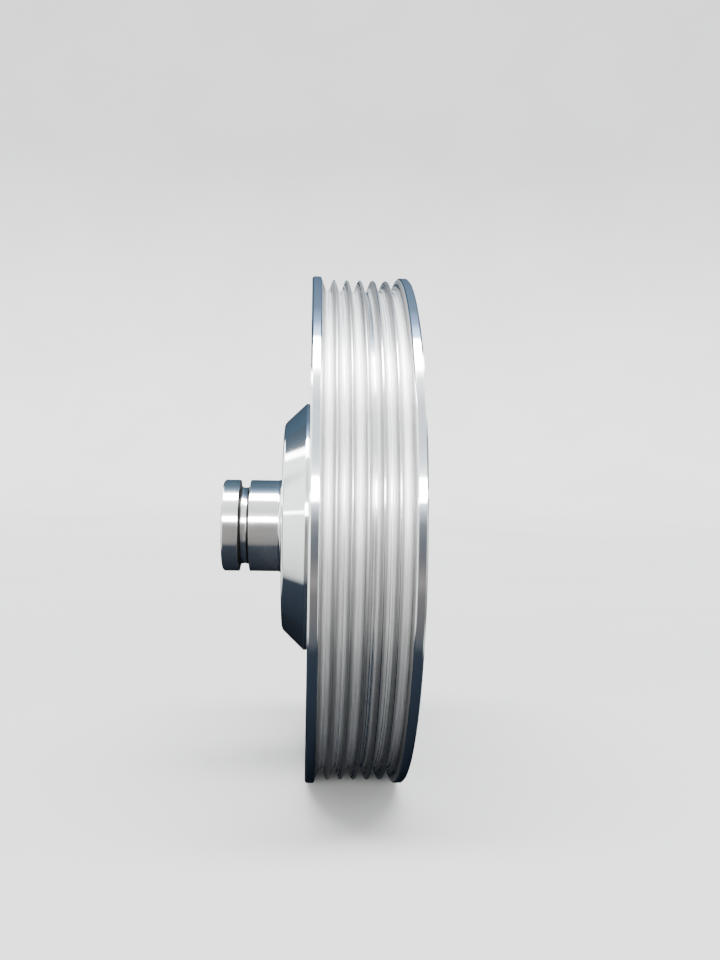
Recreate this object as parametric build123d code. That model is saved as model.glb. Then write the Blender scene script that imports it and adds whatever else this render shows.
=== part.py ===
from build123d import *
import os
from math import cos, radians, sin, tan

# Crankshaft-side drive pulley of a supercharger: a grooved shell with a torsional damper inside it,
# bolted to a conical boss that carries a steel pilot sleeve. Millimetres, +Z up. The origin is on the
# spin axis, in the plane of the boss's rear face that seats on the crankshaft. +Y points to the
# crankshaft, and the pulley's front faces -Y.

# Belt grooves: six of the standard 3.56 mm pitch
groove_count = 6
groove_pitch = 3.56
groove_depth = 3.5
groove_half_angle = 20.0
rib_land = 0.5
groove_bottom_round = 0.22

# Rim
flange_r = 71.75
rib_r = 70.9
rim_width = 26.3
rim_chamfer = 0.45
flange_bevel = 0.3

# Boss and pilot snout
boss_length = 7.25
boss_base_r = 35.8
boss_band = 1.0
boss_face_r = 29.8
boss_edge = 0.4
seam_chamfer = 0.2
spigot_r = 18.0
snout_r = 13.3
snout_length = 17.3
snout_chamfer = 0.5
root_lip_r = 14.8
root_lip = 0.25
shoulder_depth = 2.0
ring_groove_width = 3.0
ring_groove_depth = 2.2
ring_groove_from_tip = 4.7
ring_groove_round = 1.1
sleeve_r = 10.4
bolt_r = 6.5
bore_chamfer = 0.5

# Shell walls and the damper chamber
web_thickness = 6.0
cover_thickness = 4.0
cover_r = 65.0
chamber_outer_r = 56.0
chamber_inner_r = 41.5
recess_r = 33.0
edge_break = 0.3

# Inertia ring and its elastomer rings
ring_gap = 2.2
ring_outer_r = 53.8
ring_inner_r = 43.7
elastomer_groove_width = 3.8
elastomer_groove_depth = 1.2
elastomer_clearance = 0.3
elastomer_round = 0.9
elastomer_spread = 3.3
face_ring_r = 48.75

# Fasteners
outer_screws = 12
outer_screw_circle_r = 60.5
outer_screw_r = 2.0
outer_head_r = 3.75
outer_screw_length = 12.0
inner_screws = 6
inner_screw_circle_r = 37.25
inner_screw_r = 1.5
inner_head_r = 3.0
inner_screw_length = 10.0
head_drop = 0.15
hub_circle_r = 24.5
hub_screw_angles = [0, 60, 120, 180, 240, 300]
hub_screw_r = 3.0
hub_screw_length = 12.0
hub_head_r = 5.0
hub_head_height = 6.0
hub_clearance_r = 3.3
washer_r = 5.75
washer_thickness = 1.2
insert_r = 3.9
insert_length = 4.8
insert_bore_r = 3.0
dowel_angles = [90, 210]
dowel_r = 2.5
dowel_length = 10.0
puller_circle_r = 27.5
puller_angles = [30, 150, 270]
puller_insert_length = 5.8
puller_pocket_r = 3.4
puller_pocket_depth = 4.0
cover_dowel_angle = 15
cover_dowel_r = 1.5
cover_dowel_length = 8.0
cover_dowel_in_cover = 2.5
balance_angles = [22, 51, 303]
balance_circle_r = 61.8
balance_screw_r = 2.5
balance_screw_length = 5.0
balance_screw_drop = 0.4
balance_hole_depth = 7.0
seat_washer_r = 16.0
seat_washer_bore_r = 6.7
seat_washer_thickness = 4.0
timing_angle = 45
timing_notch = (3.5, 1.0, 0.5)
timing_notch_r = 68.0

# Planes along the axis
back_y = -boss_length
front_y = back_y - rim_width
belt_y = (back_y + front_y) / 2
web_y = back_y - web_thickness
cover_y = front_y + cover_thickness
ring_back_y = web_y - ring_gap
ring_front_y = cover_y + ring_gap
ring_middle_y = (ring_back_y + ring_front_y) / 2
hub_bearing_y = web_y - washer_thickness

facing_front = Rot(90, 0, 0)
facing_back = Rot(-90, 0, 0)


def turned(points):
    """Solid of revolution about the Y axis, from (radius, y) points."""
    return revolve(make_face(Polyline(*points, close=True)), Axis.Y)


def ring(inner_r, outer_r, y_low, y_high, corner=0.0):
    """Ring of rectangular section about the Y axis, with its four corners rounded."""
    centre = Pos((inner_r + outer_r) / 2, (y_low + y_high) / 2)
    width = outer_r - inner_r
    height = y_high - y_low
    section = RectangleRounded(width, height, corner) if corner else Rectangle(width, height)
    return revolve(centre * section, Axis.Y)


def chamfered_ring(inner_r, outer_r, y_low, y_high, edge):
    """Ring about the Y axis with its four edges chamfered."""
    return turned([
        (inner_r + edge, y_low), (outer_r - edge, y_low), (outer_r, y_low + edge),
        (outer_r, y_high - edge), (outer_r - edge, y_high), (inner_r + edge, y_high),
        (inner_r, y_high - edge), (inner_r, y_low + edge),
    ])


def on_circle(shape, circle_r, angles, y, facing=facing_front):
    """Copies of a shape modelled along Z, set on a circle about the Y axis."""
    spots = [(circle_r * cos(radians(a)), y, circle_r * sin(radians(a))) for a in angles]
    return [Pos(*spot) * Rot(0, -a, 0) * facing * shape for spot, a in zip(spots, angles)]


def even_angles(count):
    return [360 * i / count for i in range(count)]


def rod(radius, length):
    """Cylinder from z = 0 down to z = -length."""
    return Cylinder(radius, length, align=(Align.CENTER, Align.CENTER, Align.MAX))


def pin(radius, length, edge):
    """Rod with both of its ends chamfered."""
    shape = rod(radius, length)
    return chamfer(shape.edges().filter_by(GeomType.CIRCLE), edge)


def hex_socket(width, depth):
    """Cutter for a hexagon socket that opens at z = 0."""
    return extrude(RegularPolygon(width / 2, 6, major_radius=False), -depth)


def cap_screw(radius, length, head_r, head_height):
    """Socket cap screw: the head's underside is at z = 0 and the shank points down."""
    head = Cylinder(head_r, head_height, align=(Align.CENTER, Align.CENTER, Align.MIN))
    head = chamfer(head.edges().group_by(Axis.Z)[-1], 0.5)
    shank = rod(radius, length)
    shank = chamfer(shank.edges().group_by(Axis.Z)[0], 0.6)
    socket = Pos(0, 0, head_height) * hex_socket(radius * 5 / 3, head_height / 2)
    return head + shank - socket


def countersunk_screw(radius, length, head_r):
    """Countersunk socket screw: the flat of its 90 degree head is at z = 0."""
    cone = head_r - radius
    head = Pos(0, 0, -cone) * Cone(radius, head_r, cone, align=(Align.CENTER, Align.CENTER, Align.MIN))
    shank = Pos(0, 0, -cone) * rod(radius, length - cone)
    shank = chamfer(shank.edges().group_by(Axis.Z)[0], 0.4)
    return head + shank - hex_socket(radius * 1.25, radius * 0.8)


def countersunk_hole(radius, depth, head_r):
    """Cutter for such a screw, with room above its head where it sits below the face."""
    cone = head_r - radius
    cutter = Pos(0, 0, -cone) * Cone(radius, head_r, cone, align=(Align.CENTER, Align.CENTER, Align.MIN))
    room = Cylinder(head_r, head_drop * 2, align=(Align.CENTER, Align.CENTER, Align.MIN))
    return cutter + rod(radius, depth) + room


def belt_outline():
    """Points of the grooved rim, from its rear flange to its front flange, as (radius, y)."""
    half_top = (groove_pitch - rib_land) / 2
    half_bottom = half_top - groove_depth * tan(radians(groove_half_angle))
    first_y = belt_y + groove_pitch * (groove_count - 1) / 2
    last_y = belt_y - groove_pitch * (groove_count - 1) / 2
    rise = (flange_r - flange_bevel - rib_r) * tan(radians(groove_half_angle))
    points = [
        (flange_r, first_y + half_top + rise + flange_bevel),
        (flange_r - flange_bevel, first_y + half_top + rise),
    ]
    for i in range(groove_count):
        y = first_y - i * groove_pitch
        if i > 0:
            points.append((rib_r, y + half_top))
        points.append((rib_r - groove_depth, y + half_bottom))
        points.append((rib_r - groove_depth, y - half_bottom))
        if i < groove_count - 1:
            points.append((rib_r, y - half_top))
    points.append((flange_r - flange_bevel, last_y - half_top - rise))
    points.append((flange_r, last_y - half_top - rise - flange_bevel))
    return points


def make_shell():
    outline = [
        (spigot_r, back_y), (flange_r - rim_chamfer, back_y), (flange_r, back_y - rim_chamfer),
        *belt_outline(),
        (flange_r, front_y + rim_chamfer), (flange_r - rim_chamfer, front_y),
        (cover_r + edge_break, front_y), (cover_r, front_y + edge_break),
        (cover_r, cover_y), (chamber_outer_r, cover_y), (chamber_outer_r, web_y),
        (chamber_inner_r, web_y), (chamber_inner_r, cover_y), (recess_r, cover_y),
        (recess_r, web_y), (spigot_r, web_y),
    ]
    profile = make_face(Polyline(*outline, close=True))
    bottoms = profile.vertices().filter_by(lambda v: abs(v.X - (rib_r - groove_depth)) < 0.01)
    shell = revolve(fillet(bottoms, groove_bottom_round), Axis.Y)
    notch = Pos(timing_notch_r, front_y, 0) * Box(timing_notch[0], 2 * timing_notch[2], timing_notch[1])
    cutters = [
        *on_circle(rod(hub_clearance_r, web_thickness), hub_circle_r, hub_screw_angles, web_y),
        *on_circle(rod(insert_r, web_thickness), puller_circle_r, puller_angles, web_y),
        *on_circle(rod(dowel_r, dowel_length / 2), hub_circle_r, dowel_angles, back_y, facing_back),
        *on_circle(rod(outer_screw_r, outer_screw_length - cover_thickness + 1),
                   outer_screw_circle_r, even_angles(outer_screws), cover_y),
        *on_circle(rod(inner_screw_r, inner_screw_length - cover_thickness + 1),
                   inner_screw_circle_r, even_angles(inner_screws), cover_y),
        *on_circle(rod(cover_dowel_r, cover_dowel_length - cover_dowel_in_cover),
                   outer_screw_circle_r, [cover_dowel_angle], cover_y),
        *on_circle(rod(balance_screw_r, balance_hole_depth),
                   balance_circle_r, balance_angles, back_y, facing_back),
        Rot(0, -timing_angle, 0) * notch,
    ]
    return shell - cutters


def make_boss():
    boss = turned([
        (sleeve_r, web_y), (spigot_r - edge_break, web_y), (spigot_r, web_y + edge_break),
        (spigot_r, back_y), (boss_base_r - seam_chamfer, back_y), (boss_base_r, back_y + seam_chamfer),
        (boss_base_r, back_y + boss_band), (boss_face_r, -boss_edge / 2),
        (boss_face_r - boss_edge, 0), (root_lip_r, 0), (root_lip_r, -shoulder_depth),
        (sleeve_r, -shoulder_depth),
    ])
    drill_depth = insert_length + 0.5
    cutters = [
        *on_circle(rod(insert_r, drill_depth), hub_circle_r, hub_screw_angles, back_y),
        *on_circle(rod(dowel_r, dowel_length / 2), hub_circle_r, dowel_angles, back_y),
        *on_circle(rod(puller_pocket_r, puller_pocket_depth), puller_circle_r, puller_angles, back_y),
    ]
    return boss - cutters


def make_sleeve():
    root_round = root_lip_r - snout_r
    tip_y = snout_length
    groove_y = tip_y - ring_groove_from_tip - ring_groove_width / 2
    edge = Polyline(
        (snout_r, root_lip + root_round), (snout_r, tip_y - snout_chamfer), (snout_r - snout_chamfer, tip_y),
        (bolt_r + bore_chamfer, tip_y), (bolt_r, tip_y - bore_chamfer),
        (bolt_r, web_y + bore_chamfer), (bolt_r + bore_chamfer, web_y),
        (sleeve_r, web_y), (sleeve_r, -shoulder_depth), (root_lip_r, -shoulder_depth),
        (root_lip_r, root_lip),
    )
    centre = (root_lip_r, root_lip + root_round)
    middle = (centre[0] - root_round * cos(radians(45)), centre[1] - root_round * sin(radians(45)))
    root = ThreePointArc((root_lip_r, root_lip), middle, (snout_r, root_lip + root_round))
    body = revolve(make_face(edge + root), Axis.Y)
    groove = ring(
        snout_r - ring_groove_depth, snout_r + ring_groove_depth,
        groove_y - ring_groove_width / 2, groove_y + ring_groove_width / 2, ring_groove_round,
    )
    return body - groove


def make_cover():
    cover = chamfered_ring(recess_r, cover_r, front_y, cover_y, edge_break)
    screw_y = front_y + head_drop
    cutters = [
        *on_circle(countersunk_hole(outer_screw_r, cover_thickness, outer_head_r),
                   outer_screw_circle_r, even_angles(outer_screws), screw_y),
        *on_circle(countersunk_hole(inner_screw_r, cover_thickness, inner_head_r),
                   inner_screw_circle_r, even_angles(inner_screws), screw_y),
        *on_circle(rod(cover_dowel_r, cover_dowel_in_cover),
                   outer_screw_circle_r, [cover_dowel_angle], cover_y, facing_back),
    ]
    return cover - cutters


def make_inertia_ring():
    body = chamfered_ring(ring_inner_r, ring_outer_r, ring_front_y, ring_back_y, edge_break)
    half = elastomer_groove_width / 2
    depth = elastomer_groove_depth
    grooves = []
    for side in (-1, 1):
        y = ring_middle_y + side * elastomer_spread
        grooves.append(ring(ring_outer_r - depth, ring_outer_r + depth, y - half, y + half))
        grooves.append(ring(ring_inner_r - depth, ring_inner_r + depth, y - half, y + half))
    for y in (ring_front_y, ring_back_y):
        grooves.append(ring(face_ring_r - half, face_ring_r + half, y - depth, y + depth))
    return body - grooves


def make_round_ring(inner_r, outer_r, side):
    """Elastomer ring round or inside the inertia ring: side is 1 for the rear one and -1 for the front one."""
    half = elastomer_groove_width / 2 - elastomer_clearance
    y = ring_middle_y + side * elastomer_spread
    return ring(inner_r, outer_r, y - half, y + half, elastomer_round)


def make_face_ring(y_low, y_high):
    half = elastomer_groove_width / 2 - elastomer_clearance
    return ring(face_ring_r - half, face_ring_r + half, y_low, y_high, elastomer_round)


def tube(inner_r, outer_r, length):
    """Plain tube from z = 0 down to z = -length."""
    return rod(outer_r, length) - rod(inner_r, length)


outer_screw = countersunk_screw(outer_screw_r, outer_screw_length, outer_head_r)
inner_screw = countersunk_screw(inner_screw_r, inner_screw_length, inner_head_r)
hub_screw = cap_screw(hub_screw_r, hub_screw_length, hub_head_r, hub_head_height)
balance_screw = rod(balance_screw_r, balance_screw_length) - hex_socket(balance_screw_r, 2.0)
elastomer_seat = elastomer_groove_depth - elastomer_clearance

nodes = {
    "pulley_shell": make_shell(),
    "hub_boss": make_boss(),
    "pilot_sleeve": make_sleeve(),
    "damper_cover": make_cover(),
    "inertia_ring": make_inertia_ring(),
    "rear_face_ring": make_face_ring(ring_back_y - elastomer_seat, web_y),
    "front_face_ring": make_face_ring(cover_y, ring_front_y + elastomer_seat),
    "outer_cover_screws": on_circle(
        outer_screw, outer_screw_circle_r, even_angles(outer_screws), front_y + head_drop),
    "inner_cover_screws": on_circle(
        inner_screw, inner_screw_circle_r, even_angles(inner_screws), front_y + head_drop),
    "cover_dowel": on_circle(
        pin(cover_dowel_r, cover_dowel_length, 0.3), outer_screw_circle_r, [cover_dowel_angle],
        cover_y - cover_dowel_in_cover),
    "hub_screws": on_circle(hub_screw, hub_circle_r, hub_screw_angles, hub_bearing_y),
    "hub_screw_washers": on_circle(
        tube(hub_clearance_r, washer_r, washer_thickness), hub_circle_r, hub_screw_angles, hub_bearing_y),
    "hub_thread_inserts": on_circle(
        tube(insert_bore_r, insert_r, insert_length), hub_circle_r, hub_screw_angles, back_y),
    "hub_dowels": on_circle(
        pin(dowel_r, dowel_length, 0.5), hub_circle_r, dowel_angles, back_y - dowel_length / 2),
    "bolt_seat_washer": chamfered_ring(
        seat_washer_bore_r, seat_washer_r, web_y - seat_washer_thickness, web_y, 0.5),
    "puller_thread_inserts": on_circle(
        tube(insert_bore_r, insert_r, puller_insert_length), puller_circle_r, puller_angles, web_y),
    "balance_set_screws": on_circle(
        balance_screw, balance_circle_r, balance_angles, back_y - balance_screw_drop, facing_back),
}

for place, side in (("front", -1), ("rear", 1)):
    nodes[f"outer_{place}_damping_ring"] = make_round_ring(
        ring_outer_r - elastomer_seat, chamber_outer_r, side)
    nodes[f"inner_{place}_damping_ring"] = make_round_ring(
        chamber_inner_r, ring_inner_r + elastomer_seat, side)

os.makedirs("parts", exist_ok=True)
for name, shape in nodes.items():
    solids = shape if isinstance(shape, list) else [shape]
    solids = [solid for entry in solids for solid in entry.solids()]
    export_step(Compound(children=solids), f"parts/{name}.step")
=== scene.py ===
from math import ceil, cos, pi, radians, sin, tan

import bmesh
import bpy
from mathutils import Matrix, Vector


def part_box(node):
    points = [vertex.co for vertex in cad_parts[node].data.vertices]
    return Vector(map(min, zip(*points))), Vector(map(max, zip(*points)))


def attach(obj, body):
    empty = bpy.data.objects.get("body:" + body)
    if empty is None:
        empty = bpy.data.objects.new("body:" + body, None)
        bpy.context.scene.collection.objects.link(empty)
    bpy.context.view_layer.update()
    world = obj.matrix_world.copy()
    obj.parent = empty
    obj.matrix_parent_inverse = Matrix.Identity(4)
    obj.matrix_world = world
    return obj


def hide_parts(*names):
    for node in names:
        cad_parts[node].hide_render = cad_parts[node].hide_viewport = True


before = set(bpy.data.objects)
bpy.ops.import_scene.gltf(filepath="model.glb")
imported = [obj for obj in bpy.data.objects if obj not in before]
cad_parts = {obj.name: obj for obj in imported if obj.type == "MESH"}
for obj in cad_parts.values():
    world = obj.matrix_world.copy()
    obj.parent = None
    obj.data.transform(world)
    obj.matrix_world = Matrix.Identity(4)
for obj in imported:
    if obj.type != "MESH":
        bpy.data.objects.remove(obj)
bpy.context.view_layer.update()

# Lengths below are millimetres in the row frame, and MM takes them to Blender's metres.
MM = 0.001
SEGMENTS = 360
ARC_STEP = radians(20)
SHARP_ANGLE = radians(38)


def reach(node):
    """Largest radius from the spin axis, lowest y and highest y of a round CAD node."""
    low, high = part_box(node)
    return round(high.x / MM, 3), round(low.y / MM, 3), round(high.y / MM, 3)


# Sizes from the frame
flange_r, front_y, back_y = reach("pulley_shell")
boss_base_r, web_y, seat_y = reach("hub_boss")
lip_r, _, tip_y = reach("pilot_sleeve")
cover_r, _, cover_y = reach("damper_cover")
seat_washer_r, seat_washer_y, _ = reach("bolt_seat_washer")
belt_y = (front_y + back_y) / 2
floor_z = -flange_r

# Belt grooves
GROOVES = 6
PITCH = 3.56
GROOVE_DEPTH = 3.5
GROOVE_HALF_ANGLE = radians(20)
RIB_LAND = 0.5
RIB_DROP = 0.85
RIB_ROUND = 0.33
BOTTOM_ROUND = 0.36
FLANGE_BEVEL = 0.3
RIM_CHAMFER = 0.45
rib_r = flange_r - RIB_DROP

# Finish of the grooves, with painted shade on the groove walls and a painted highlight on the rib tips
GROOVE_WALL_SHADE = 0.4
RIB_TIP_PAINTED_HIGHLIGHT = 0.22
TOOL_LINE_GLOSS = 0.39

# Boss, sleeve and their bores
BOSS_FACE_R = 29.8
BOSS_BAND = 1.0
BOSS_EDGE = 2.2
SPIGOT_R = 18.0
SPIGOT_CHAMFER = 0.3
SEAM_CHAMFER = 0.2
SHOULDER_DEPTH = 2.0
SNOUT_R = 13.3
TIP_CHAMFER = 0.5
ROOT_LIP = 0.25
SLEEVE_R = 10.4
BOLT_R = 6.5
RING_GROOVE_WIDTH = 3.0
RING_GROOVE_DEPTH = 2.2
RING_GROOVE_FROM_TIP = 4.7
RING_GROOVE_ROUND = 1.1
# Width along each wall of the snout's ring groove that gets painted shade
RING_GROOVE_PAINTED_SHADE = 0.9

# Shell walls
CHAMBER_OUTER_R = 56.0
CHAMBER_INNER_R = 41.5
RECESS_R = 33.0
CHAMBER_FILLET = 0.5
COVER_SEAT_CHAMFER = 0.3

# Screws, washers and inserts
OUTER_SCREWS, OUTER_CIRCLE_R, OUTER_SCREW_R, OUTER_HEAD_R, OUTER_LENGTH = 12, 60.5, 2.0, 3.75, 12.0
INNER_SCREWS, INNER_CIRCLE_R, INNER_SCREW_R, INNER_HEAD_R, INNER_LENGTH = 6, 37.25, 1.5, 3.0, 10.0
HEAD_DROP = 0.15
HUB_CIRCLE_R = 24.5
HUB_ANGLES = (0, 60, 120, 180, 240, 300)
HUB_SCREW_R, HUB_SCREW_LENGTH, HUB_HEAD_R, HUB_HEAD_HEIGHT = 3.0, 12.0, 5.0, 6.0
HUB_HOLE_R = 3.3
WASHER_R, WASHER_THICKNESS = 5.75, 1.2
INSERT_R, INSERT_BORE_R, INSERT_LENGTH = 3.9, 3.0, 4.8
DOWEL_ANGLES, DOWEL_R, DOWEL_DEPTH = (90, 210), 2.5, 5.0
PULLER_CIRCLE_R, PULLER_ANGLES, PULLER_LENGTH = 27.5, (30, 150, 270), 5.8
PULLER_POCKET_R, PULLER_POCKET_DEPTH = 3.4, 4.0
COVER_DOWEL_ANGLE, COVER_DOWEL_R, COVER_DOWEL_DEPTH = 15, 1.5, 5.5
BALANCE_ANGLES, BALANCE_CIRCLE_R, BALANCE_R = (22, 51, 303), 61.8, 2.5
BALANCE_LENGTH, BALANCE_DROP, BALANCE_HOLE = 5.0, 0.4, 7.0
TIMING_ANGLE, TIMING_SIZE, TIMING_R = 45, (3.5, 1.0, 0.5), 68.0


# ---------------------------------------------------------------- outlines and meshes

def rounded(corners):
    """Outline of (radius, y) points from corners given as (radius, y, rounding)."""
    points = []
    for i, (radius, y, rounding) in enumerate(corners):
        here = Vector((radius, y))
        if rounding == 0:
            points.append(here)
            continue
        to_last = (Vector(corners[i - 1][:2]) - here).normalized()
        to_next = (Vector(corners[(i + 1) % len(corners)][:2]) - here).normalized()
        half = to_last.angle(to_next) / 2
        centre = here + (to_last + to_next).normalized() * rounding / sin(half)
        start = here + to_last * rounding / tan(half) - centre
        end = here + to_next * rounding / tan(half) - centre
        turn = start.angle_signed(end)
        steps = max(2, ceil(abs(turn) / ARC_STEP))
        for k in range(steps + 1):
            points.append(centre + Matrix.Rotation(-turn * k / steps, 2) @ start)
    return points


def round_section(_):
    return 1.0


def hexagon(angle):
    """Radius of a hexagon, whose flats are at radius 1, in a direction."""
    return 1 / cos((angle + pi / 6) % (pi / 3) - pi / 6)


def knurl(angle, teeth=40, depth=0.022):
    """Radius of a straight knurl whose crests are at radius 1."""
    return 1 - depth * abs(2 * ((angle * teeth / (2 * pi)) % 1) - 1)


def spin(name, outline, segments=SEGMENTS, closed=True):
    """Solid turned about the Y axis. An outline point is (radius, y) or (radius, y, section), where a section
    gives the radius round the axis. A closed outline makes a ring, and an open one ends on the axis."""
    bm = bmesh.new()
    rows = []
    for radius, y, *section in outline:
        shape = section[0] if section else round_section
        if radius == 0:
            rows.append([bm.verts.new((0, y * MM, 0))] * segments)
            continue
        angles = [2 * pi * i / segments for i in range(segments)]
        rows.append([
            bm.verts.new((radius * shape(a) * cos(a) * MM, y * MM, radius * shape(a) * sin(a) * MM))
            for a in angles
        ])
    pairs = list(zip(rows, rows[1:]))
    if closed:
        pairs.append((rows[-1], rows[0]))
    for lower, upper in pairs:
        for i in range(segments):
            j = (i + 1) % segments
            corners = [lower[i], lower[j], upper[j], upper[i]]
            bm.faces.new(list(dict.fromkeys(corners)))
    bmesh.ops.recalc_face_normals(bm, faces=bm.faces)
    mesh = bpy.data.meshes.new(name)
    bm.to_mesh(mesh)
    bm.free()
    piece = bpy.data.objects.new(name, mesh)
    bpy.context.scene.collection.objects.link(piece)
    return piece


def rod(radius, y_low, y_high, segments=48):
    """Plain cutter for a hole along Y."""
    outline = [(0, y_low), (radius, y_low), (radius, y_high), (0, y_high)]
    return spin("cutter", outline, segments, closed=False)


def copies(piece, circle_r, angles):
    """The piece joined with its copies, set on a circle about the Y axis."""
    bm = bmesh.new()
    for angle in angles:
        place = Matrix.Rotation(-radians(angle), 4, "Y") @ Matrix.Translation((circle_r * MM, 0, 0))
        mesh = piece.data.copy()
        mesh.transform(place)
        bm.from_mesh(mesh)
        bpy.data.meshes.remove(mesh)
    bm.to_mesh(piece.data)
    bm.free()
    return piece


def even_angles(count):
    return [360 * i / count for i in range(count)]


def cut(piece, cutters):
    """Takes the cutters out of the piece."""
    bm = bmesh.new()
    for cutter in cutters:
        bm.from_mesh(cutter.data)
        bpy.data.objects.remove(cutter)
    mesh = bpy.data.meshes.new("cutters")
    bm.to_mesh(mesh)
    bm.free()
    joined = bpy.data.objects.new("cutters", mesh)
    bpy.context.scene.collection.objects.link(joined)
    modifier = piece.modifiers.new("holes", "BOOLEAN")
    modifier.operation = "DIFFERENCE"
    modifier.solver = "EXACT"
    modifier.object = joined
    graph = bpy.context.evaluated_depsgraph_get()
    result = bpy.data.meshes.new_from_object(piece.evaluated_get(graph))
    piece.modifiers.clear()
    piece.data = result
    bpy.data.objects.remove(joined)
    return piece


def finish_piece(piece, node, materials, pick=None):
    """Smooth shading with crisp edges, materials, and the CAD node that the piece stands for."""
    mesh = piece.data
    mesh.materials.clear()
    for material in materials:
        mesh.materials.append(material)
    for face in mesh.polygons:
        face.use_smooth = True
        face.material_index = pick(face) if pick else 0
    mesh.set_sharp_from_angle(angle=SHARP_ANGLE)
    weighted = piece.modifiers.new("weighted_normals", "WEIGHTED_NORMAL")
    weighted.keep_sharp = True
    weighted.weight = 100
    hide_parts(node)
    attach(piece, "root")
    return piece


# ---------------------------------------------------------------- materials

class Nodes:
    """Short calls for building a material's node tree."""

    def __init__(self, name):
        self.material = bpy.data.materials.new(name)
        self.material.use_nodes = True
        self.tree = self.material.node_tree
        self.shader = self.tree.nodes["Principled BSDF"]
        self.coordinates = self.add("ShaderNodeTexCoord").outputs["Object"]

    def add(self, kind, **settings):
        node = self.tree.nodes.new(kind)
        for key, value in settings.items():
            setattr(node, key, value)
        return node

    def put(self, socket, value):
        if isinstance(value, bpy.types.NodeSocket):
            self.tree.links.new(value, socket)
        else:
            socket.default_value = value

    def math(self, operation, a, b=0.0):
        node = self.add("ShaderNodeMath", operation=operation)
        self.put(node.inputs[0], a)
        self.put(node.inputs[1], b)
        return node.outputs[0]

    def noise(self, vector, scale, detail=2.0, roughness=0.5):
        node = self.add("ShaderNodeTexNoise")
        self.put(node.inputs["Vector"], vector)
        node.inputs["Scale"].default_value = scale
        node.inputs["Detail"].default_value = detail
        node.inputs["Roughness"].default_value = roughness
        return node.outputs["Fac"]

    def spread(self, value, low, high, out_low=0.0, out_high=1.0):
        """Takes the range low..high of a value to out_low..out_high, smoothly and clamped."""
        node = self.add("ShaderNodeMapRange", interpolation_type="SMOOTHSTEP")
        self.put(node.inputs["Value"], value)
        node.inputs["From Min"].default_value = low
        node.inputs["From Max"].default_value = high
        node.inputs["To Min"].default_value = out_low
        node.inputs["To Max"].default_value = out_high
        return node.outputs["Result"]

    def mix(self, factor, a, b):
        node = self.add("ShaderNodeMix", data_type="RGBA")
        self.put(node.inputs["Factor"], factor)
        self.put(node.inputs["A"], a)
        self.put(node.inputs["B"], b)
        return node.outputs["Result"]

    def turned_vector(self):
        """(distance from the spin axis, y, 0): a texture in it makes lines that run round the axis."""
        split = self.add("ShaderNodeSeparateXYZ")
        self.put(split.inputs[0], self.coordinates)
        across = self.math("ADD", self.math("MULTIPLY", split.outputs["X"], split.outputs["X"]),
                           self.math("MULTIPLY", split.outputs["Z"], split.outputs["Z"]))
        join = self.add("ShaderNodeCombineXYZ")
        self.put(join.inputs["X"], self.math("SQRT", across))
        self.put(join.inputs["Y"], split.outputs["Y"])
        return join.outputs[0]

    def bump(self, height, distance, strength=1.0, below=None):
        node = self.add("ShaderNodeBump")
        node.inputs["Strength"].default_value = strength
        node.inputs["Distance"].default_value = distance
        self.put(node.inputs["Height"], height)
        if below is not None:
            self.put(node.inputs["Normal"], below)
        return node.outputs["Normal"]

    def specks(self, scale, size, share):
        """Mask of small scattered dots, such as dust: a share of the cells has one."""
        node = self.add("ShaderNodeTexVoronoi", feature="F1")
        self.put(node.inputs["Vector"], self.coordinates)
        node.inputs["Scale"].default_value = scale
        split = self.add("ShaderNodeSeparateColor")
        self.put(split.inputs[0], node.outputs["Color"])
        chosen = self.math("GREATER_THAN", split.outputs["Red"], 1 - share)
        dot = self.spread(node.outputs["Distance"], size * 0.6, size, 1.0, 0.0)
        return self.math("MULTIPLY", chosen, dot)


# Turning lines spread a reflection across themselves, which is a quarter turn from their own direction
ACROSS_LINES = 0.25


def turned_metal(name, color, rough, line_depth, line_scale=3000.0, anisotropy=0.5, smudge=0.35, dust=0.0):
    """Metal turned on a lathe and polished: lines round the spin axis, faint smudges and a little dust."""
    n = Nodes(name)
    turned = n.turned_vector()
    lines = n.noise(turned, line_scale, 3.0, 0.65)
    bands = n.noise(turned, line_scale / 9, 2.0, 0.5)
    cloud = n.noise(n.coordinates, 45.0, 3.0, 0.55)
    shade = n.mix(n.spread(cloud, 0.3, 0.75), (*[c * 0.965 for c in color], 1), (*color, 1))
    line_shade = n.mix(n.spread(bands, 0.35, 0.7), (0.965, 0.965, 0.97, 1), (1, 1, 1, 1))
    tint = n.add("ShaderNodeMix", data_type="RGBA", blend_type="MULTIPLY")
    tint.inputs["Factor"].default_value = 1.0
    n.put(tint.inputs["A"], shade)
    n.put(tint.inputs["B"], line_shade)
    roughness = n.spread(cloud, 0.35, 0.8, rough * (1 - smudge), rough * (1 + smudge))
    roughness = n.math("ADD", roughness, n.spread(lines, 0.45, 0.75, 0.0, rough * 0.5))
    base = tint.outputs["Result"]
    if dust:
        mask = n.specks(420.0, 0.075, dust)
        base = n.mix(mask, base, (0.86, 0.86, 0.84, 1))
        roughness = n.math("MAXIMUM", roughness, n.math("MULTIPLY", mask, 0.75))
    n.put(n.shader.inputs["Base Color"], base)
    n.shader.inputs["Metallic"].default_value = 1.0
    n.put(n.shader.inputs["Roughness"], roughness)
    n.shader.inputs["Anisotropic"].default_value = anisotropy
    tangent = n.add("ShaderNodeTangent", direction_type="RADIAL", axis="Y")
    n.put(n.shader.inputs["Tangent"], tangent.outputs[0])
    n.shader.inputs["Anisotropic Rotation"].default_value = ACROSS_LINES
    wave = n.bump(cloud, 0.0001, 0.12)
    n.put(n.shader.inputs["Normal"], n.bump(lines, line_depth, 1.0, wave))
    return n.material


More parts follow.
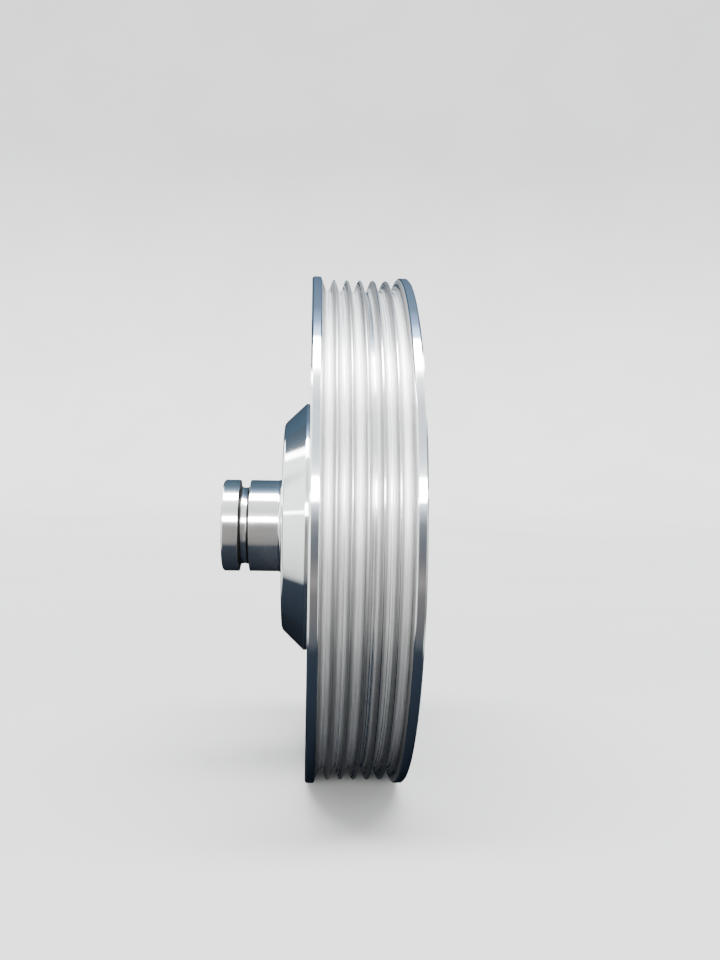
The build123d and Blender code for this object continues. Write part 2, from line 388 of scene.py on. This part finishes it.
def groove_metal(name, color, bottom_r, tip_r):
    """Satin metal of the belt grooves: matt between fine bright tool lines, with painted shade that darkens
    the walls towards the rib tips and a painted highlight on the tips.
    """
    n = Nodes(name)
    turned = n.turned_vector()
    split = n.add("ShaderNodeSeparateXYZ")
    n.put(split.inputs[0], turned)
    radius = split.outputs["X"]
    lines = n.noise(turned, 2200.0, 4.0, 0.7)
    cloud = n.noise(n.coordinates, 60.0, 3.0, 0.6)
    # Painted shade: the colour darkens from the groove bottoms towards the rib tips. Painted highlight: the
    # rib tips are lightened again. The white flecks fade with the same painted shade.
    wall = n.spread(radius, (bottom_r + 0.4) * MM, (tip_r - 0.7) * MM, 1.0, GROOVE_WALL_SHADE)
    tip = n.spread(radius, (tip_r - 0.3) * MM, tip_r * MM, 0.0, RIB_TIP_PAINTED_HIGHLIGHT)
    bright = n.math("MULTIPLY", n.math("ADD", wall, tip), n.spread(lines, 0.3, 0.7, 0.92, 1.0))
    mask = n.math("MULTIPLY", n.specks(300.0, 0.07, 0.05), wall)
    shade = n.mix(bright, (0, 0, 0, 1), (*color, 1))
    n.put(n.shader.inputs["Base Color"], n.mix(mask, shade, (1, 1, 1, 1)))
    n.shader.inputs["Metallic"].default_value = 1.0
    matt = n.spread(cloud, 0.3, 0.75, 0.46, 0.54)
    gloss = n.spread(lines, 0.48, 0.54)
    n.put(n.shader.inputs["Roughness"], n.math("SUBTRACT", matt, n.math("MULTIPLY", gloss, TOOL_LINE_GLOSS)))
    n.shader.inputs["Anisotropic"].default_value = 0.6
    tangent = n.add("ShaderNodeTangent", direction_type="RADIAL", axis="Y")
    n.put(n.shader.inputs["Tangent"], tangent.outputs[0])
    n.shader.inputs["Anisotropic Rotation"].default_value = ACROSS_LINES
    n.put(n.shader.inputs["Normal"], n.bump(lines, 0.000004))
    return n.material


def small_metal(name, color, rough, grain_scale=2500.0, grain_depth=0.000004):
    """Metal of screws, washers, inserts and pins: fine grain and a clouded shade."""
    n = Nodes(name)
    grain = n.noise(n.coordinates, grain_scale, 3.0, 0.6)
    cloud = n.noise(n.coordinates, 220.0, 3.0, 0.6)
    shade = n.mix(n.spread(cloud, 0.3, 0.7), (*[c * 0.82 for c in color], 1), (*color, 1))
    n.put(n.shader.inputs["Base Color"], shade)
    n.shader.inputs["Metallic"].default_value = 1.0
    n.put(n.shader.inputs["Roughness"], n.spread(cloud, 0.3, 0.75, rough * 0.8, rough * 1.25))
    n.put(n.shader.inputs["Normal"], n.bump(grain, grain_depth))
    return n.material


def rubber(name):
    """Matt black elastomer with a faint grain and a dusty bloom."""
    n = Nodes(name)
    grain = n.noise(n.coordinates, 3000.0, 3.0, 0.6)
    cloud = n.noise(n.coordinates, 130.0, 3.0, 0.6)
    bloom = n.mix(n.spread(cloud, 0.4, 0.8), (0.014, 0.014, 0.015, 1), (0.03, 0.03, 0.031, 1))
    n.put(n.shader.inputs["Base Color"], bloom)
    n.put(n.shader.inputs["Roughness"], n.spread(cloud, 0.3, 0.7, 0.55, 0.75))
    n.put(n.shader.inputs["Normal"], n.bump(grain, 0.00001))
    return n.material


ALUMINIUM = (0.912, 0.922, 0.93)
polished = turned_metal("polished_aluminium", ALUMINIUM, 0.055, 0.0000006, anisotropy=0.55, dust=0.02)
machined = turned_metal("machined_aluminium", (0.86, 0.87, 0.875), 0.2, 0.000004, 1500.0, 0.7)
cover_finish = turned_metal("cover_aluminium", (0.89, 0.9, 0.905), 0.27, 0.0000018, 2000.0, 0.85, dust=0.02)
satin = groove_metal("satin_grooves", (0.97, 0.97, 0.965), rib_r - GROOVE_DEPTH, rib_r)
steel = turned_metal("turned_steel", (0.86, 0.85, 0.84), 0.16, 0.0000016, 2400.0, 0.7, dust=0.02)
# Dark steel that paints shade on the walls and rounded corners of the snout's ring groove
painted_shade_steel = turned_metal("painted_shade_steel", (0.1, 0.097, 0.095), 0.4, 0.000004, 1200.0, 0.4)
ring_steel = turned_metal("inertia_steel", (0.44, 0.44, 0.45), 0.3, 0.00001, 1200.0, 0.6)
black_oxide = small_metal("black_oxide", (0.035, 0.034, 0.036), 0.34)
ground_steel = small_metal("ground_steel", (0.6, 0.6, 0.595), 0.24, grain_depth=0.000003)
insert_steel = small_metal("passivated_steel", (0.66, 0.645, 0.61), 0.3)
elastomer = rubber("elastomer")


# ---------------------------------------------------------------- turned pieces

def belt_corners():
    """Corners of the grooved rim, from the rear flange to the front flange."""
    bottom_r = rib_r - GROOVE_DEPTH
    half_top = (PITCH - RIB_LAND) / 2
    half_bottom = half_top - GROOVE_DEPTH * tan(GROOVE_HALF_ANGLE)
    first_y = belt_y + PITCH * (GROOVES - 1) / 2
    last_y = belt_y - PITCH * (GROOVES - 1) / 2
    rise = (RIB_DROP - FLANGE_BEVEL) * tan(GROOVE_HALF_ANGLE)
    corners = [
        (flange_r, first_y + half_top + rise + FLANGE_BEVEL, 0.08),
        (flange_r - FLANGE_BEVEL, first_y + half_top + rise, 0.1),
    ]
    for i in range(GROOVES):
        y = first_y - i * PITCH
        if i > 0:
            corners.append((rib_r, y + half_top, RIB_ROUND))
        corners.append((bottom_r, y + half_bottom, BOTTOM_ROUND))
        corners.append((bottom_r, y - half_bottom, BOTTOM_ROUND))
        if i < GROOVES - 1:
            corners.append((rib_r, y - half_top, RIB_ROUND))
    corners.append((flange_r - FLANGE_BEVEL, last_y - half_top - rise, 0.1))
    corners.append((flange_r, last_y - half_top - rise - FLANGE_BEVEL, 0.08))
    return corners


def make_shell():
    corners = [
        (SPIGOT_R, back_y, 0), (flange_r - RIM_CHAMFER, back_y, 0.06), (flange_r, back_y - RIM_CHAMFER, 0.06),
        *belt_corners(),
        (flange_r, front_y + RIM_CHAMFER, 0.06), (flange_r - RIM_CHAMFER, front_y, 0.06),
        (cover_r + COVER_SEAT_CHAMFER, front_y, 0.08), (cover_r, front_y + COVER_SEAT_CHAMFER, 0.08),
        (cover_r, cover_y, 0), (CHAMBER_OUTER_R, cover_y, 0), (CHAMBER_OUTER_R, web_y, CHAMBER_FILLET),
        (CHAMBER_INNER_R, web_y, CHAMBER_FILLET), (CHAMBER_INNER_R, cover_y, 0), (RECESS_R, cover_y, 0),
        (RECESS_R, web_y, CHAMBER_FILLET), (SPIGOT_R, web_y, 0),
    ]
    shell = spin("pulley_shell_turned", rounded(corners))
    length, width, depth = TIMING_SIZE
    bpy.ops.mesh.primitive_cube_add(size=1)
    notch = bpy.context.object
    notch.data.transform(Matrix.Diagonal((length * MM, 2 * depth * MM, width * MM, 1)))
    notch.data.transform(Matrix.Translation((TIMING_R * MM, front_y * MM, 0)))
    notch.data.transform(Matrix.Rotation(-radians(TIMING_ANGLE), 4, "Y"))
    over = 1.0
    outer_hole = cover_y + OUTER_LENGTH - (cover_y - front_y) + over
    inner_hole = cover_y + INNER_LENGTH - (cover_y - front_y) + over
    cut(shell, [
        notch,
        copies(rod(HUB_HOLE_R, web_y - over, back_y + over), HUB_CIRCLE_R, HUB_ANGLES),
        copies(rod(INSERT_R, web_y - over, back_y + over), PULLER_CIRCLE_R, PULLER_ANGLES),
        copies(rod(DOWEL_R, back_y - DOWEL_DEPTH, back_y + over), HUB_CIRCLE_R, DOWEL_ANGLES),
        copies(rod(OUTER_SCREW_R, cover_y - over, outer_hole), OUTER_CIRCLE_R, even_angles(OUTER_SCREWS)),
        copies(rod(INNER_SCREW_R, cover_y - over, inner_hole), INNER_CIRCLE_R, even_angles(INNER_SCREWS)),
        copies(rod(COVER_DOWEL_R, cover_y - over, cover_y + COVER_DOWEL_DEPTH),
               OUTER_CIRCLE_R, [COVER_DOWEL_ANGLE]),
        copies(rod(BALANCE_R, back_y - BALANCE_HOLE, back_y + over), BALANCE_CIRCLE_R, BALANCE_ANGLES),
    ])
    satin_top = (rib_r + 0.05) * MM
    satin_bottom = (rib_r - GROOVE_DEPTH - 0.2) * MM
    flange_inset = 1.5

    def pick(face):
        radius = Vector((face.center.x, face.center.z)).length
        inside = front_y + flange_inset < face.center.y / MM < back_y - flange_inset
        if inside and satin_bottom < radius < satin_top:
            return 1
        hidden = inside and radius < satin_bottom
        return 2 if hidden else 0

    finish_piece(shell, "pulley_shell", [polished, satin, machined], pick)


def make_boss():
    corners = [
        (SLEEVE_R, web_y, 0), (SPIGOT_R - SPIGOT_CHAMFER, web_y, 0.05),
        (SPIGOT_R, web_y + SPIGOT_CHAMFER, 0.05),
        (SPIGOT_R, back_y, 0), (boss_base_r - SEAM_CHAMFER, back_y, 0),
        (boss_base_r, back_y + SEAM_CHAMFER, 0.05),
        (boss_base_r, back_y + BOSS_BAND, 0.25), (BOSS_FACE_R, seat_y, BOSS_EDGE),
        (lip_r, seat_y, 0), (lip_r, seat_y - SHOULDER_DEPTH, 0), (SLEEVE_R, seat_y - SHOULDER_DEPTH, 0),
    ]
    boss = spin("hub_boss_turned", rounded(corners))
    over = 1.0
    cut(boss, [
        copies(rod(INSERT_R, back_y - over, back_y + INSERT_LENGTH + 0.5), HUB_CIRCLE_R, HUB_ANGLES),
        copies(rod(DOWEL_R, back_y - over, back_y + DOWEL_DEPTH), HUB_CIRCLE_R, DOWEL_ANGLES),
        copies(rod(PULLER_POCKET_R, back_y - over, back_y + PULLER_POCKET_DEPTH),
               PULLER_CIRCLE_R, PULLER_ANGLES),
    ])
    finish_piece(boss, "hub_boss", [polished])


def make_sleeve():
    root = lip_r - SNOUT_R
    groove_end = tip_y - RING_GROOVE_FROM_TIP
    groove_start = groove_end - RING_GROOVE_WIDTH
    groove_r = SNOUT_R - RING_GROOVE_DEPTH
    corners = [
        (SLEEVE_R, web_y, 0), (SLEEVE_R, seat_y - SHOULDER_DEPTH, 0), (lip_r, seat_y - SHOULDER_DEPTH, 0),
        (lip_r, seat_y + ROOT_LIP, 0.03), (SNOUT_R, seat_y + ROOT_LIP, root * 0.9),
        (SNOUT_R, groove_start, 0.12), (groove_r, groove_start, RING_GROOVE_ROUND),
        (groove_r, groove_end, RING_GROOVE_ROUND),
        (SNOUT_R, groove_end, 0.12),
        (SNOUT_R, tip_y - TIP_CHAMFER, 0.08), (SNOUT_R - TIP_CHAMFER, tip_y, 0.08),
        (BOLT_R + TIP_CHAMFER, tip_y, 0.06), (BOLT_R, tip_y - TIP_CHAMFER, 0.06),
        (BOLT_R, web_y + TIP_CHAMFER, 0.06), (BOLT_R + TIP_CHAMFER, web_y, 0.06),
    ]
    sleeve = spin("pilot_sleeve_turned", rounded(corners))

    # The ring groove's walls and rounded corners take the dark steel as painted shade. The middle of its
    # floor keeps the bright steel.
    def pick(face):
        radius, y = Vector((face.center.x, face.center.z)).length / MM, face.center.y / MM
        in_groove = groove_start - 0.02 < y < groove_end + 0.02 and groove_r - 0.1 < radius < SNOUT_R - 0.1
        in_middle = groove_start + RING_GROOVE_PAINTED_SHADE < y < groove_end - RING_GROOVE_PAINTED_SHADE
        return 1 if in_groove and not in_middle else 0

    finish_piece(sleeve, "pilot_sleeve", [steel, painted_shade_steel], pick)


def countersink(radius, head_r, y):
    """Cutter for a countersunk screw's hole through the cover."""
    cone = head_r - radius
    points = [
        (0, y - 2 * HEAD_DROP), (head_r, y - 2 * HEAD_DROP), (head_r, y),
        (radius, y + cone), (radius, cover_y + 1), (0, cover_y + 1),
    ]
    return spin("cutter", points, 64, closed=False)


def make_cover():
    corners = [
        (RECESS_R, front_y, 0.3), (cover_r, front_y, 0.25), (cover_r, cover_y, 0.2), (RECESS_R, cover_y, 0.2),
    ]
    cover = spin("damper_cover_turned", rounded(corners))
    screw_y = front_y + HEAD_DROP
    cut(cover, [
        copies(countersink(OUTER_SCREW_R, OUTER_HEAD_R, screw_y), OUTER_CIRCLE_R, even_angles(OUTER_SCREWS)),
        copies(countersink(INNER_SCREW_R, INNER_HEAD_R, screw_y), INNER_CIRCLE_R, even_angles(INNER_SCREWS)),
        copies(rod(COVER_DOWEL_R, cover_y - 2.5, cover_y + 1), OUTER_CIRCLE_R, [COVER_DOWEL_ANGLE]),
    ])
    finish_piece(cover, "damper_cover", [cover_finish])


def make_seat_washer():
    corners = [
        (6.7, seat_washer_y, 0.4), (seat_washer_r, seat_washer_y, 0.4),
        (seat_washer_r, web_y, 0.4), (6.7, web_y, 0.4),
    ]
    washer = spin("bolt_seat_washer_turned", rounded(corners))
    finish_piece(washer, "bolt_seat_washer", [ground_steel])


# ---------------------------------------------------------------- screws, washers and inserts

def make_cap_screws():
    """Socket cap screws with a knurled head. The head faces the front."""
    under = web_y - WASHER_THICKNESS
    top = under - HUB_HEAD_HEIGHT
    end = under + HUB_SCREW_LENGTH
    socket = 2.5
    outline = [
        (0, top + 3.6), (socket, top + 3.0, hexagon), (socket, top + 0.25, hexagon),
        (socket + 0.25, top, hexagon), (HUB_HEAD_R - 0.6, top), (HUB_HEAD_R - 0.35, top + 0.08),
        (HUB_HEAD_R - 0.1, top + 0.35), (HUB_HEAD_R, top + 0.7, knurl), (HUB_HEAD_R, under - 0.5, knurl),
        (HUB_HEAD_R - 0.15, under - 0.2), (HUB_HEAD_R - 0.3, under), (HUB_SCREW_R, under),
        (HUB_SCREW_R, end - 0.6), (HUB_SCREW_R - 0.6, end), (0, end),
    ]
    screws = copies(spin("hub_cap_screws", outline, 240, closed=False), HUB_CIRCLE_R, HUB_ANGLES)
    finish_piece(screws, "hub_screws", [black_oxide])


def make_countersunk_screws(name, node, radius, head_r, length, circle_r, count):
    top = front_y + HEAD_DROP
    cone = head_r - radius
    socket = radius * 0.625
    outline = [
        (0, top + socket * 1.5), (socket, top + socket * 1.2, hexagon), (socket, top + 0.12, hexagon),
        (socket + 0.12, top, hexagon), (head_r - 0.25, top), (head_r - 0.12, top + 0.03),
        (head_r - 0.03, top + 0.12), (radius, top + cone), (radius, top + length - 0.4),
        (radius - 0.4, top + length), (0, top + length),
    ]
    screws = copies(spin(name, outline, 96, closed=False), circle_r, even_angles(count))
    finish_piece(screws, node, [black_oxide])


def make_set_screws():
    top = back_y - BALANCE_DROP
    socket = 1.25
    outline = [
        (0, top - 2.6), (socket, top - 2.0, hexagon), (socket, top - 0.15, hexagon),
        (socket + 0.15, top, hexagon), (BALANCE_R - 0.3, top), (BALANCE_R, top - 0.3),
        (BALANCE_R, top - BALANCE_LENGTH + 0.3), (BALANCE_R - 0.3, top - BALANCE_LENGTH),
        (0, top - BALANCE_LENGTH),
    ]
    screws = copies(spin("balance_screws", outline, 96, closed=False), BALANCE_CIRCLE_R, BALANCE_ANGLES)
    finish_piece(screws, "balance_set_screws", [black_oxide])


def make_washers():
    low, high = web_y - WASHER_THICKNESS, web_y
    corners = [(HUB_HOLE_R, low, 0.12), (WASHER_R, low, 0.3), (WASHER_R, high, 0.12), (HUB_HOLE_R, high, 0.1)]
    washers = copies(spin("hub_washers", rounded(corners), 96), HUB_CIRCLE_R, HUB_ANGLES)
    finish_piece(washers, "hub_screw_washers", [ground_steel])


def make_thread_inserts(name, node, circle_r, angles, y_low, y_high):
    """Threaded inserts, with the thread as a helix cut into the bore."""
    pitch, depth, segments, per_turn = 1.0, 0.5, 48, 8
    bm = bmesh.new()
    rows = int((y_high - y_low) / pitch * per_turn)
    grid = []
    for k in range(rows + 1):
        y = y_low + (y_high - y_low) * k / rows
        row = []
        for i in range(segments):
            phase = (y / pitch + i / segments) % 1
            radius = INSERT_BORE_R - depth * abs(2 * phase - 1)
            angle = 2 * pi * i / segments
            row.append(bm.verts.new((radius * cos(angle) * MM, y * MM, radius * sin(angle) * MM)))
        grid.append(row)
    angles_round = [2 * pi * i / segments for i in range(segments)]
    for radius, y in ((INSERT_R, y_high), (INSERT_R, y_low)):
        grid.append([
            bm.verts.new((radius * cos(a) * MM, y * MM, radius * sin(a) * MM))
            for a in angles_round
        ])
    for lower, upper in zip(grid, grid[1:] + grid[:1]):
        for i in range(segments):
            j = (i + 1) % segments
            bm.faces.new([lower[i], lower[j], upper[j], upper[i]])
    bmesh.ops.recalc_face_normals(bm, faces=bm.faces)
    mesh = bpy.data.meshes.new(name)
    bm.to_mesh(mesh)
    bm.free()
    piece = bpy.data.objects.new(name, mesh)
    bpy.context.scene.collection.objects.link(piece)
    copies(piece, circle_r, angles)
    finish_piece(piece, node, [insert_steel])


make_shell()
make_boss()
make_sleeve()
make_cover()
make_seat_washer()
make_cap_screws()
make_countersunk_screws(
    "outer_countersunk_screws", "outer_cover_screws",
    OUTER_SCREW_R, OUTER_HEAD_R, OUTER_LENGTH, OUTER_CIRCLE_R, OUTER_SCREWS)
make_countersunk_screws(
    "inner_countersunk_screws", "inner_cover_screws",
    INNER_SCREW_R, INNER_HEAD_R, INNER_LENGTH, INNER_CIRCLE_R, INNER_SCREWS)
make_set_screws()
make_washers()
make_thread_inserts("puller_inserts", "puller_thread_inserts", PULLER_CIRCLE_R, PULLER_ANGLES,
                    web_y, web_y + PULLER_LENGTH)
make_thread_inserts("hub_inserts", "hub_thread_inserts", HUB_CIRCLE_R, HUB_ANGLES,
                    back_y, back_y + INSERT_LENGTH)

cad_finishes = {
    "inertia_ring": ring_steel, "cover_dowel": ground_steel, "hub_dowels": ground_steel,
    "rear_face_ring": elastomer, "front_face_ring": elastomer,
    "outer_front_damping_ring": elastomer, "outer_rear_damping_ring": elastomer,
    "inner_front_damping_ring": elastomer, "inner_rear_damping_ring": elastomer,
}
for name, finish in cad_finishes.items():
    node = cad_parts[name]
    node.data.materials.clear()
    node.data.materials.append(finish)


# ---------------------------------------------------------------- stage, light and camera

def make_floor():
    """Pale floor that curves up to a backdrop all round. Polished metal mirrors the studio, not the floor."""
    radius, bend, height = 3000.0, 1200.0, 3500.0
    outline = [(0, 0), (radius - bend, 0)]
    steps = 24
    for k in range(1, steps + 1):
        angle = pi / 2 * k / steps
        outline.append((radius - bend + bend * sin(angle), bend * (1 - cos(angle))))
    outline.append((radius, height))
    floor = spin("floor", outline, 128, closed=False)
    floor.data.transform(Matrix.Rotation(pi / 2, 4, "X"))
    floor.data.transform(Matrix.Translation((0, 0, floor_z * MM)))
    for face in floor.data.polygons:
        face.use_smooth = True
    n = Nodes("floor_pale")
    cloud = n.noise(n.coordinates, 3.0, 4.0, 0.6)
    shade = n.mix(n.spread(cloud, 0.3, 0.7), (0.33, 0.33, 0.335, 1), (0.35, 0.35, 0.35, 1))
    n.put(n.shader.inputs["Base Color"], shade)
    n.shader.inputs["Roughness"].default_value = 0.9
    n.shader.inputs["Specular IOR Level"].default_value = 0.1
    floor.data.materials.append(n.material)
    floor.visible_glossy = False
    floor.visible_shadow = False


# Light that the metal mirrors, as (angle, colour). The angle is in degrees about the spin axis, from the side
# that the camera looks from (0) over the top (90) to the far side (180).
STUDIO = [
    (-180, (0.005, 0.007, 0.01)),
    (-137, (0.006, 0.009, 0.014)),
    (-108, (0.014, 0.02, 0.033)),
    (-60, (0.032, 0.045, 0.068)),
    (-51, (0.038, 0.052, 0.075)),
    (-46, (0.12, 0.135, 0.155)),
    (-36, (0.18, 0.178, 0.19)),
    (-26, (0.22, 0.21, 0.215)),
    (-20, (0.36, 0.34, 0.335)),
    (-10, (0.2, 0.205, 0.225)),
    (-3, (0.2, 0.22, 0.255)),
    (4, (0.31, 0.34, 0.37)),
    (9, (0.83, 0.9, 1.03)),
    (13, (2.2, 2.4, 2.7)),
    (15, (44.0, 44.0, 44.0)),
    (22, (48.0, 48.0, 48.0)),
    (24, (3.6, 3.7, 3.8)),
    (29, (1.9, 2.1, 2.2)),
    (38, (1.35, 1.5, 1.6)),
    (56, (1.35, 1.5, 1.65)),
    (69, (2.7, 2.8, 2.8)),
    (73, (8.0, 8.0, 8.0)),
    (75, (48.0, 48.0, 48.0)),
    (89, (48.0, 48.0, 48.0)),
    (92, (2.2, 3.0, 4.2)),
    (102, (0.57, 0.8, 1.3)),
    (113, (0.25, 0.37, 0.52)),
    (140, (0.18, 0.27, 0.41)),
    (180, (0.1, 0.14, 0.2)),
]
# The same for light from a little beyond the snout's side, which the snout mirrors
STUDIO_BEYOND = [
    (-180, (0.005, 0.007, 0.01)),
    (-108, (0.03, 0.038, 0.052)),
    (-60, (0.052, 0.066, 0.088)),
    (-51, (0.056, 0.072, 0.096)),
    (-46, (0.26, 0.26, 0.26)),
    (-38, (0.39, 0.385, 0.375)),
    (0, (0.46, 0.45, 0.44)),
    (8, (0.6, 0.6, 0.6)),
    (12, (1.3, 1.3, 1.3)),
    (14.5, (44.0, 44.0, 44.0)),
    (22, (48.0, 48.0, 48.0)),
    (24, (2.6, 2.7, 2.8)),
    (38, (1.5, 1.6, 1.65)),
    (67, (2.2, 2.3, 2.3)),
    (73, (48.0, 48.0, 48.0)),
    (86.5, (48.0, 48.0, 48.0)),
    (89.5, (1.0, 1.4, 1.9)),
    (102, (0.3, 0.45, 0.7)),
    (113, (0.15, 0.24, 0.33)),
    (140, (0.1, 0.17, 0.24)),
    (180, (0.06, 0.09, 0.13)),
]
BEYOND_START, BEYOND_FULL = 0.005, 0.03
# The same for the white walls to the left and right, by slope: height over distance along the spin axis
WALLS = [
    (-1.2, (0.012, 0.018, 0.026)),
    (-0.62, (0.042, 0.056, 0.08)),
    (-0.53, (0.05, 0.066, 0.09)),
    (-0.47, (1.1, 1.15, 1.15)),
    (-0.4, (1.35, 1.4, 1.38)),
    (-0.13, (2.0, 2.1, 2.05)),
    (0.1, (2.5, 2.65, 2.6)),
    (0.115, (12.0, 12.0, 12.0)),
    (0.125, (12.0, 12.0, 12.0)),
    (0.14, (2.7, 2.85, 2.8)),
    (0.61, (2.8, 2.9, 2.9)),
    (0.64, (16.0, 16.0, 16.0)),
    (0.67, (16.0, 16.0, 16.0)),
    (0.7, (0.24, 0.3, 0.36)),
    (0.8, (0.13, 0.18, 0.24)),
    (0.95, (0.09, 0.125, 0.17)),
    (1.2, (0.085, 0.12, 0.16)),
]
STUDIO_PEAK = 48.0
WALL_START, WALL_FULL = 0.5, 0.6
# The walls in front of and behind the pulley darken to the left and right, so that no flat face mirrors one
# even white. Each range is where the shade starts and where it is full.
WALL_SHADE = 0.85
WALL_SHADE_DEPTH = (0.86, 0.93)
FRONT_SHADE_ACROSS = (0.03, 0.2)
REAR_SHADE_ACROSS = (0.1, 0.25)


def make_world():
    world = bpy.data.worlds.new("studio")
    bpy.context.scene.world = world
    world.use_nodes = True
    tree = world.node_tree
    tree.nodes.clear()

    def add(kind, **settings):
        node = tree.nodes.new(kind)
        for key, value in settings.items():
            setattr(node, key, value)
        return node

    def put(socket, value):
        if isinstance(value, bpy.types.NodeSocket):
            tree.links.new(value, socket)
        else:
            socket.default_value = value

    def math(operation, a, b):
        node = add("ShaderNodeMath", operation=operation)
        put(node.inputs[0], a)
        put(node.inputs[1], b)
        return node.outputs[0]

    def spread(value, low, high):
        """Smooth step from 0 at low to 1 at high."""
        node = add("ShaderNodeMapRange", interpolation_type="SMOOTHSTEP")
        put(node.inputs["Value"], value)
        put(node.inputs["From Min"], low)
        put(node.inputs["From Max"], high)
        return node.outputs["Result"]

    def ramp(value, stops, low, high):
        """Colours of the stops, whose places run from low to high."""
        node = add("ShaderNodeValToRGB")
        put(node.inputs[0], math("DIVIDE", math("SUBTRACT", value, low), high - low))
        elements = node.color_ramp.elements
        elements.remove(elements[-1])
        for i, (place, color) in enumerate(stops):
            position = (place - low) / (high - low)
            element = elements.new(position) if i else elements[0]
            element.position = position
            element.color = (*[c / STUDIO_PEAK for c in color], 1)
        return node.outputs[0]

    split = add("ShaderNodeSeparateXYZ")
    put(split.inputs[0], add("ShaderNodeTexCoord").outputs["Generated"])
    turn = math("ARCTAN2", split.outputs["Z"], math("MULTIPLY", split.outputs["X"], -1.0))
    across = math("ABSOLUTE", split.outputs["Y"], 0.0)
    slope = math("DIVIDE", split.outputs["Z"], math("MAXIMUM", across, WALL_START))
    studio = add("ShaderNodeMix", data_type="RGBA")
    put(studio.inputs["Factor"], spread(across, WALL_START, WALL_FULL))
    round_axis = add("ShaderNodeMix", data_type="RGBA")
    put(round_axis.inputs["Factor"], spread(split.outputs["Y"], BEYOND_START, BEYOND_FULL))
    put(round_axis.inputs["A"], ramp(turn, [(radians(a), c) for a, c in STUDIO], -pi, pi))
    put(round_axis.inputs["B"], ramp(turn, [(radians(a), c) for a, c in STUDIO_BEYOND], -pi, pi))
    put(studio.inputs["A"], round_axis.outputs["Result"])
    walls = ramp(slope, WALLS, WALLS[0][0], WALLS[-1][0])
    for side, shade_across in ((-1.0, FRONT_SHADE_ACROSS), (1.0, REAR_SHADE_ACROSS)):
        sideways = spread(math("ABSOLUTE", split.outputs["X"], 0.0), *shade_across)
        facing = spread(math("MULTIPLY", split.outputs["Y"], side), *WALL_SHADE_DEPTH)
        shaded = add("ShaderNodeMix", data_type="RGBA")
        put(shaded.inputs["Factor"], math("MULTIPLY", math("MULTIPLY", sideways, facing), WALL_SHADE))
        put(shaded.inputs["A"], walls)
        put(shaded.inputs["B"], (0, 0, 0, 1))
        walls = shaded.outputs["Result"]
    put(studio.inputs["B"], walls)

    mirrored = add("ShaderNodeBackground")
    put(mirrored.inputs["Color"], studio.outputs["Result"])
    put(mirrored.inputs["Strength"], STUDIO_PEAK)
    backdrop = add("ShaderNodeBackground")
    put(backdrop.inputs["Color"], (0.25, 0.25, 0.26, 1))
    choose = add("ShaderNodeMixShader")
    put(choose.inputs[0], add("ShaderNodeLightPath").outputs["Is Camera Ray"])
    put(choose.inputs[1], mirrored.outputs[0])
    put(choose.inputs[2], backdrop.outputs[0])
    put(add("ShaderNodeOutputWorld").inputs["Surface"], choose.outputs[0])


def make_camera():
    """View level with the pulley, from the side, with the snout to the left."""
    data = bpy.data.cameras.new("camera")
    data.lens = 34.8
    data.sensor_width = 36.0
    data.clip_start = 0.01
    camera = bpy.data.objects.new("camera", data)
    camera.location = (-0.27299, -0.00718, 0.01424)
    camera.rotation_euler = (radians(89.9), radians(-0.902), radians(-93.143))
    bpy.context.scene.collection.objects.link(camera)
    bpy.context.scene.camera = camera


make_floor()
make_world()
make_camera()
